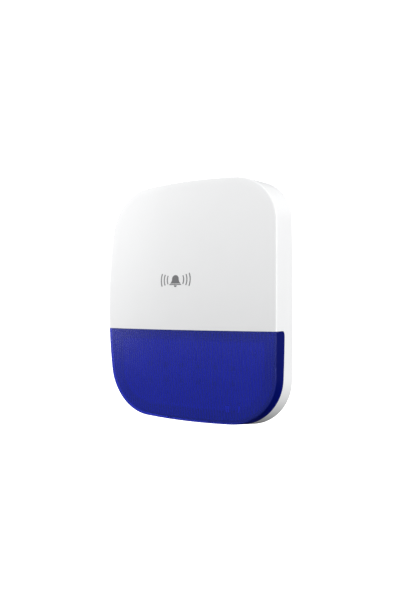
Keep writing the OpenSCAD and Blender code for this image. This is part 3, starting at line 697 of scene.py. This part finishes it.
def rounded_slot(bm, x, half, rear, front):
    """Upright prism with round ends, through the shell's bottom wall."""
    ends = []
    for z in (-HEIGHT / 2 - 5, -HEIGHT / 2 + 6):
        ring = []
        for k in range(24):
            turn = 2 * math.pi * k / 24
            mid = front - half if math.sin(turn) >= 0 else rear + half
            ring.append(bm.verts.new(to_space((x + half * math.cos(turn), mid + half * math.sin(turn), z))))
        ends.append(ring + ring[:1])
    grid_faces(bm, ends)
    for ring in ends:
        bm.faces.new(ring[:-1])


def strobe_lens():
    bm = bmesh.new()
    outer, inner = half_shell(bm, LENS_CENTRE, LENS_GAP, False)
    ring_walls(bm, outer, inner, 0, JOINT_INDEX)
    end_caps(bm, outer, inner, 0, JOINT_INDEX)
    obj = new_piece("lens", bm, "cover", LOOKS["blue_lens"], bevel=0.5)
    # The rounded edges, side walls and top wall take the darker lens copy: painted shade along the lens's sides
    # and its seam.
    obj.modifiers["edges"].material = 1
    obj.data.materials.append(LOOKS["blue_lens_painted_shade"])
    obj.data.materials.append(LOOKS["blue_lens_inner"])
    # Faces turned sideways or up and down get the painted shade copy; faces turned inwards get the inner lens.
    for face in obj.data.polygons:
        face.material_index = 1 if abs(face.normal.y) < 0.45 else 2 if face.normal.y > 0 else 0
    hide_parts("strobe_lens")


def lens_flutes():
    """Inner face of the lens front, moulded into fine upright flutes."""
    bm = bmesh.new()
    pitch, per_flute, rise, skin = RIB_PITCH, 8, 0.6, 0.25
    top = SEAM_Z - LENS_GAP - SHELF_T
    half = WIDTH / 2 - WALL - 2.6
    steps = int(2 * half / pitch) * per_flute
    rows = 22
    front, back = [], []
    for i in range(steps + 1):
        x = -half + 2 * half * i / steps
        reach = ray_hit((abs(x), top), -math.pi / 2, 46.0, WALL + 1.2)
        wave = rise * (0.5 - 0.5 * math.cos(2 * math.pi * i / per_flute))
        column_front, column_back = [], []
        for k in range(rows + 1):
            z = top - reach * k / rows
            depth = crown_depth(x, z, WALL) - 0.02
            column_front.append((x, depth, z))
            column_back.append((x, depth - skin - wave, z))
        front.append(column_front)
        back.append(column_back)
    front, back = add_rows(bm, front), add_rows(bm, back)
    grid_faces(bm, front)
    grid_faces(bm, back, flip=True)
    for k in (0, -1):
        grid_faces(bm, [front[k], back[k]])
        grid_faces(bm, [[a[k], b[k]] for a, b in zip(front, back)])
    # The flutes' material carries painted shade stripes at the flute pitch.
    obj = new_piece("lens_flutes", bm, "cover", LOOKS["blue_lens_ribs_painted_shade"], smooth=60)
    obj.data.materials.append(LOOKS["blue_lens_inner"])
    for face in obj.data.polygons:
        face.material_index = 1 if face.normal.y < -0.5 else 0


def lens_posts():
    """Three small upright ribs behind the lower right of the lens front, along its curve."""
    bm = bmesh.new()
    for x, z, lean in LENS_POSTS:
        rows = []
        for k in range(9):
            up = POST_TALL * (k / 8 - 0.5)
            mid = x + lean * up
            face = crown_depth(mid, z + up, WALL) - 0.15
            left, right = mid - POST_HALF, mid + POST_HALF
            rows.append([(left, face, z + up), (right, face, z + up),
                         (right, face - POST_DEEP, z + up), (left, face - POST_DEEP, z + up)])
        made = add_rows(bm, rows)
        grid_faces(bm, [row + row[:1] for row in made])
        bm.faces.new(made[0])
        bm.faces.new(made[-1])
    new_piece("lens_posts", bm, "cover", LOOKS["pale_blue"])


def half_width(z, depth, inset):
    return ray_hit((0.0, z), 0.0, depth, inset)


def cover_fittings():
    """Shelf, flange, hinge pins, screw bosses and tamper rib on the inside of the shell."""
    bm = bmesh.new()
    shelf = []
    columns = 60
    reach = half_width(SEAM_Z, JOINT_DEPTH, WALL - 0.5)
    for i in range(columns + 1):
        x = reach * (2 * i / columns - 1)
        deep = max(crown_depth(x, SEAM_Z, WALL - 0.6), FLANGE_REAR + 3)
        shelf.append([(x, FLANGE_REAR, SEAM_Z), (x, deep, SEAM_Z),
                      (x, deep, SEAM_Z + SHELF_T), (x, FLANGE_REAR, SEAM_Z + SHELF_T)])
    rows = add_rows(bm, [row + row[:1] for row in shelf])
    for row in rows:
        bm.verts.remove(row[-1])
        row[-1] = row[0]
    grid_faces(bm, rows)
    bm.faces.new(rows[0][:-1])
    bm.faces.new(rows[-1][:-1])
    flange(bm, FLANGE_REAR, FLANGE_REAR + 2.0, 0.6)
    for side in (-1, 1):
        x = side * HINGE_X
        box_verts(bm, (min(x, x - side * 4), HINGE_DEPTH - 1.2, HINGE_Z - 1.8),
                  (max(x, x - side * 4), HINGE_DEPTH + 3, HEIGHT / 2 - 1.8))
        lathe(bm, [(0, -0.5), (1.5, -0.5), (1.5, 4.6), (1.1, 5.0), (0, 5.0)],
              (x, HINGE_DEPTH, HINGE_Z), (side, 0, 0), 28)
        foot = -HEIGHT / 2 + 4.6
        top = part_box("cover_nuts")[0].z / MM - 3.7
        lathe(bm, [(COUNTERBORE_R, foot), (4.8, foot), (4.8, top), (1.9, top),
                   (1.9, foot + 2), (COUNTERBORE_R, foot + 2), (COUNTERBORE_R, foot)],
              (side * SCREW_X, SCREW_DEPTH, 0), (0, 0, 1), 40)
    tip_low, tip_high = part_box("cover_tamper_plunger")
    x, z = (tip_low.x + tip_high.x) / 2 / MM, (tip_low.z + tip_high.z) / 2 / MM
    lathe(bm, [(0, 0), (2.6, 0), (3.0, 0.4), (3.0, 5), (0, 5)], (x, -tip_low.y / MM + 0.1, z), (0, -1, 0), 32)
    new_piece("cover_fittings", bm, "cover", LOOKS["white_shell"], bevel=0.2)


def flange(bm, rear, front, overlap):
    """Ring inside the lens joint: down both sides and along the bottom, and along the top."""
    turns = angles(False)
    rows = []
    for turn in turns:
        outer_r = ray_hit(CENTRE, turn, front, WALL - overlap)
        inner_r = ray_hit(CENTRE, turn, front, WALL + FLANGE_W)
        row = [(*polar(CENTRE, turn, r), d) for r, d in
               ((outer_r, rear), (outer_r, front), (inner_r, front), (inner_r, rear))]
        rows.append([(x, d, z) for x, z, d in row])
    made = add_rows(bm, rows)
    grid_faces(bm, [row + row[:1] for row in made])
    bm.faces.new(made[0])
    bm.faces.new(made[-1])
    reach = half_width(SEAM_Z - FLANGE_W, front, WALL + FLANGE_W - 0.5)
    box_verts(bm, (-reach, rear, SEAM_Z - FLANGE_W), (reach, front, SEAM_Z - 0.2))


def lens_foot():
    """Top wall, foot and screw bosses moulded inside the lens."""
    bm = bmesh.new()
    rear = JOINT_DEPTH + LENS_GAP
    flange(bm, rear, rear + 2.0, -0.05)
    columns = 60
    top = SEAM_Z - LENS_GAP - 0.02
    reach = half_width(top, JOINT_DEPTH, WALL + 0.05)
    rows = []
    for i in range(columns + 1):
        x = reach * (2 * i / columns - 1)
        deep = max(crown_depth(x, top, WALL + 0.7), rear + 3)
        rows.append([(x, rear + 2.1, top), (x, deep, top),
                     (x, deep, top - SHELF_T), (x, rear + 2.1, top - SHELF_T)])
    made = add_rows(bm, rows)
    grid_faces(bm, [row + row[:1] for row in made])
    bm.faces.new(made[0])
    bm.faces.new(made[-1])
    for x, z in lens_screw_places():
        lathe(bm, [(1.2, 0), (3.0, 0), (2.7, 11), (1.2, 11), (1.2, 0)], (x, rear + 2.0, z), (0, -1, 0), 28)
    new_piece("lens_foot", bm, "cover", LOOKS["blue_lens"], bevel=0.15)


def lens_screw_places():
    """Centres of the lens screws, from the clusters of their CAD solids."""
    places = []
    for v in frame["nodes"]["lens_screws"].data.vertices:
        for place in places:
            if math.hypot(v.co.x - place[0][0], v.co.z - place[0][1]) < 0.008:
                place.append((v.co.x, v.co.z))
                break
        else:
            places.append([(v.co.x, v.co.z)])
    middles = []
    for place in places:
        xs, zs = [p[0] for p in place], [p[1] for p in place]
        middles.append(((min(xs) + max(xs)) / 2 / MM, (min(zs) + max(zs)) / 2 / MM))
    return middles


# ---------- Plain bell mark on the front ----------

def flat_shape(bm, outline):
    """Thin raised shape on the crowned front, from an outline of (x, z) about the mark's centre."""
    layers = []
    for lift in (-0.2, MARK_RISE):
        ring = []
        for x, z in outline:
            px, pz = MARK_CENTRE[0] + x, MARK_CENTRE[1] + z
            ring.append(bm.verts.new(to_space((px, crown_depth(px, pz) + lift, pz))))
        layers.append(ring)
    for ring in layers:
        bm.faces.new(ring)
    grid_faces(bm, [ring + ring[:1] for ring in layers])


def arc_band(radius, width, middle, sweep, steps=18, centre=(0.0, 0.0)):
    """Outline of a curved band with round ends."""
    start, stop = middle - sweep / 2, middle + sweep / 2
    points = []
    for r, order in ((radius + width / 2, 1), (radius - width / 2, -1)):
        span = [start + (stop - start) * k / steps for k in range(steps + 1)][::order]
        points += [(centre[0] + r * math.cos(a), centre[1] + r * math.sin(a)) for a in span]
    return points


def bell_outline(size):
    """Half profile of a bell, mirrored: crown, shoulder, waist and lip."""
    half = []
    for k in range(25):
        t = k / 24
        z = 0.52 - 0.92 * t
        r = 0.42 * math.sqrt(max(1 - (1 - min(t / 0.45, 1.0)) ** 2, 0.0)) if t < 0.45 \
            else 0.42 + 0.24 * ((t - 0.45) / 0.55) ** 2.2
        half.append((r * size, z * size))
    return half + [(-x, z) for x, z in reversed(half) if x > 0]


def front_mark():
    bm = bmesh.new()
    size = 10.0
    flat_shape(bm, bell_outline(size))
    flat_shape(bm, [(-7.4, -4.5), (7.4, -4.5), (7.4, -5.5), (-7.4, -5.5)])
    flat_shape(bm, arc_band(0.9, 1.8, -math.pi / 2, math.pi, 14, (0.0, -6.0)))
    for radius in (10.5, 14.5, 18.5):
        for middle in (0.0, math.pi):
            flat_shape(bm, arc_band(radius, 1.15, middle, math.radians(62 - radius)))
    new_piece("front_mark", bm, "cover", LOOKS["mark_ink"], smooth=50, bevel=0.04)


# ---------- Inner pieces that the CAD keeps plain ----------

def battery_cells():
    for k in range(1, 5):
        name = f"battery_cell_{k}"
        low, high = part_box(name)
        mid = (low + high) / 2
        r = (high.z - low.z) / 2 / MM
        length = (high.x - low.x) / MM
        bm = bmesh.new()
        body = length - 1.0
        profile = [(0, 0.0), (r - 2.6, 0.0), (r - 2.2, 0.35), (r - 1.2, 0.35), (r - 0.45, 0.0),
                   (r - 0.12, 0.15), (r, 0.55), (r, body - 0.55), (r - 0.12, body - 0.15),
                   (r - 0.45, body), (r - 1.8, body), (r - 2.3, body - 0.4), (4.0, body - 0.4),
                   (3.4, body - 0.1), (3.2, body + 0.1), (3.1, length - 0.2), (2.9, length), (0, length)]
        lathe(bm, profile, (low.x / MM, -mid.y / MM, mid.z / MM), (1, 0, 0), 56)
        obj = new_piece(f"cell_{k}", bm, "siren", LOOKS["cell_sleeve"], smooth=50)
        obj.data.materials.append(LOOKS["nickel"])
        for face in obj.data.polygons:
            along = (face.center.x - low.x) / MM
            off = math.hypot(face.center.y - mid.y, face.center.z - mid.z) / MM
            if off < r - 1.9 or along > body:
                face.material_index = 1
        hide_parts(name)


def coil(name, node, body, material, turns, wire):
    low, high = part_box(node)
    mid = (low + high) / 2
    radius = (high.x - low.x) / 2 - wire * MM
    path = []
    steps = turns * 28
    flat = 0.9
    for k in range(steps + 1):
        turn = turns * k / steps
        ease = min(max((turn - flat) / (turns - 2 * flat), 0.0), 1.0)
        y = high.y - wire * MM + (low.y - high.y + 2 * wire * MM) * ease
        path.append(Vector((mid.x + radius * math.cos(2 * math.pi * turn), y,
                            mid.z + radius * math.sin(2 * math.pi * turn))))
    bm = bmesh.new()
    tube(bm, path, wire * MM, 12)
    obj = new_piece(name, bm, body, material, smooth=60)
    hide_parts(node)
    return obj, high.y, low.y, mid


def springs():
    for name, node, plunger in (("cover_spring_coil", "cover_tamper_spring", "cover_plunger"),
                                ("wall_spring_coil", "wall_tamper_spring", "wall_plunger")):
        obj, rear, front, mid = coil(name, node, None, LOOKS["steel"], 6, 0.32)
        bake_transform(obj)


def board_parts():
    """Small chip resistors and capacitors in rows on the main board, clear of its larger parts."""
    rng = random.Random(7)
    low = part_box("main_board")[0]
    face = -low.y / MM
    taken = []
    for entry in frame["record"]["subparts"]:
        node = entry["node"]
        a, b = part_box(node)
        if face - 6 < -b.y / MM < face + 3 and -a.y / MM > face + 0.3:
            taken += solids_of(node)
    bodies, ends = bmesh.new(), bmesh.new()
    for i in range(17):
        for k in range(9):
            x = low.x / MM + 10 + i * 7.4 + rng.uniform(-1.2, 1.2)
            z = low.z / MM + 6 + k * 7.4 + rng.uniform(-1.2, 1.2)
            if rng.random() < 0.25 or any(a - 3 < x < b + 3 and c - 3 < z < d + 3 for a, b, c, d in taken):
                continue
            long, wide = (1.6, 0.8) if rng.random() < 0.6 else (2.0, 1.25)
            dx, dz = (long, wide) if rng.random() < 0.5 else (wide, long)
            tall = rng.uniform(0.45, 0.8)
            box_verts(bodies, (x - dx / 2, face - 0.02, z - dz / 2), (x + dx / 2, face + tall, z + dz / 2))
            for s in (-1, 1):
                ex, ez = (s * dx / 2, 0) if dx > dz else (0, s * dz / 2)
                box_verts(ends, (x + ex - (0.22 if dx > dz else dx / 2 + 0.03), face - 0.02,
                                 z + ez - (dz / 2 + 0.03 if dx > dz else 0.22)),
                          (x + ex + (0.22 if dx > dz else dx / 2 + 0.03), face + tall + 0.04,
                           z + ez + (dz / 2 + 0.03 if dx > dz else 0.22)))
    new_piece("board_chips", bodies, "siren", LOOKS["black_plastic"], bevel=0.06)
    new_piece("board_solder", ends, "siren", LOOKS["nickel"], bevel=0.06)


def solids_of(node):
    """(x low, x high, z low, z high) in millimetres of each loose solid of a CAD node."""
    bm = bmesh.new()
    bm.from_mesh(frame["nodes"][node].data)
    bmesh.ops.remove_doubles(bm, verts=bm.verts, dist=1e-5)
    seen, found = set(), []
    for first in bm.verts:
        if first in seen:
            continue
        stack, members = [first], []
        seen.add(first)
        while stack:
            v = stack.pop()
            members.append(v.co.copy())
            for edge in v.link_edges:
                other = edge.other_vert(v)
                if other not in seen:
                    seen.add(other)
                    stack.append(other)
        xs, zs = [c.x / MM for c in members], [c.z / MM for c in members]
        found.append((min(xs), max(xs), min(zs), max(zs)))
    bm.free()
    return found


# ---------- Stage, light and camera ----------

def stage():
    """Pale round floor that turns up into a backdrop, seen by the camera only."""
    bm = bmesh.new()
    turns = [math.pi / 2 * k / 10 for k in range(11)]
    bend = [(FLOOR_FLAT + FLOOR_BEND * math.sin(t), FLOOR_BEND * (1 - math.cos(t))) for t in turns]
    profile = [(0, 0)] + bend + [(FLOOR_FLAT + FLOOR_BEND, BACKDROP_TOP)]
    lathe(bm, profile, (0, 0, -HEIGHT / 2 - FLOOR_DROP), (0, 0, 1), 96)
    mesh = bpy.data.meshes.new("floor")
    bm.to_mesh(mesh)
    bm.free()
    obj = bpy.data.objects.new("floor", mesh)
    bpy.context.scene.collection.objects.link(obj)
    look = Look("pale_floor", (0.9, 0.9, 0.9), 0.9)
    look.vary(0.01, 0.002)
    look.set("Emission Color", (1.0, 1.0, 1.0)).set("Emission Strength", 0.75)
    mesh.materials.append(look.material)
    mesh.shade_smooth()
    obj.visible_diffuse = False
    obj.visible_glossy = False
    obj.visible_transmission = False
    obj.visible_shadow = False


def area_light(name, values, target):
    """Soft rectangular light aimed at a target."""
    light = bpy.data.lights.new(name, "AREA")
    light.shape = "RECTANGLE"
    light.size, light.size_y = values["size"]
    light.energy = values["power"]
    obj = bpy.data.objects.new(name, light)
    place = around(values["turn"], values["height"], values["distance"])
    obj.location = place
    obj.rotation_euler = (Vector(target) - Vector(place)).to_track_quat("-Z", "Y").to_euler()
    obj.visible_camera = False
    bpy.context.scene.collection.objects.link(obj)


def studio_world():
    """Soft surround: brightest level with the siren and in front of it, darker below and behind."""
    world = bpy.data.worlds.new("studio")
    bpy.context.scene.world = world
    world.use_nodes = True
    tree = world.node_tree
    coords = tree.nodes.new("ShaderNodeTexCoord")
    split = tree.nodes.new("ShaderNodeSeparateXYZ")
    tree.links.new(coords.outputs["Generated"], split.inputs["Vector"])
    levels = []
    for axis, stops in (("Z", WORLD_BY_HEIGHT), ("Y", WORLD_BY_DEPTH)):
        spread = tree.nodes.new("ShaderNodeMapRange")
        spread.inputs["From Min"].default_value = -1.0
        ramp = tree.nodes.new("ShaderNodeValToRGB")
        while len(ramp.color_ramp.elements) < len(stops):
            ramp.color_ramp.elements.new(0.5)
        for element, (place, level) in zip(ramp.color_ramp.elements, stops):
            element.position = place
            element.color = (level, level, level, 1)
        tree.links.new(split.outputs[axis], spread.inputs["Value"])
        tree.links.new(spread.outputs["Result"], ramp.inputs["Fac"])
        levels.append(ramp.outputs["Color"])
    both = tree.nodes.new("ShaderNodeVectorMath")
    both.operation = "MULTIPLY"
    tree.links.new(levels[0], both.inputs[0])
    tree.links.new(levels[1], both.inputs[1])
    tree.links.new(both.outputs["Vector"], tree.nodes["Background"].inputs["Color"])
    tree.nodes["Background"].inputs["Strength"].default_value = WORLD_STRENGTH


def around(azimuth, elevation, distance):
    """Place at a turn to the right of straight ahead of the front, a height angle and a distance."""
    a, e = math.radians(azimuth), math.radians(elevation)
    return distance * math.sin(a) * math.cos(e), -distance * math.cos(a) * math.cos(e), distance * math.sin(e)


def lights():
    studio_world()
    area_light("key", KEY_LIGHT, (0, 0, 0.0))
    area_light("side", SIDE_LIGHT, (0.1, 0, 0.0))


def camera():
    """The pictured view, without depth of field."""
    turn, tilt = math.radians(VIEW_TURN), math.radians(VIEW_TILT)
    away = Vector((math.sin(turn) * math.cos(tilt), -math.cos(turn) * math.cos(tilt), math.sin(tilt)))
    data = bpy.data.cameras.new("camera")
    obj = bpy.data.objects.new("camera", data)
    obj.location = Vector((0, shell_high.y, 0)) + away * VIEW_DISTANCE
    obj.rotation_euler = (-away).to_track_quat("-Z", "Y").to_euler()
    data.lens = VIEW_LENS
    data.sensor_width = 36.0
    data.shift_x, data.shift_y = VIEW_SHIFT
    data.dof.use_dof = False
    bpy.context.scene.collection.objects.link(obj)
    bpy.context.scene.camera = obj


camera()
dress_cad_nodes()
front_cover()
strobe_lens()
lens_flutes()
lens_posts()
lens_foot()
cover_fittings()
front_mark()
battery_cells()
springs()
board_parts()
stage()
lights()
bpy.context.scene.view_settings.view_transform = "Standard"
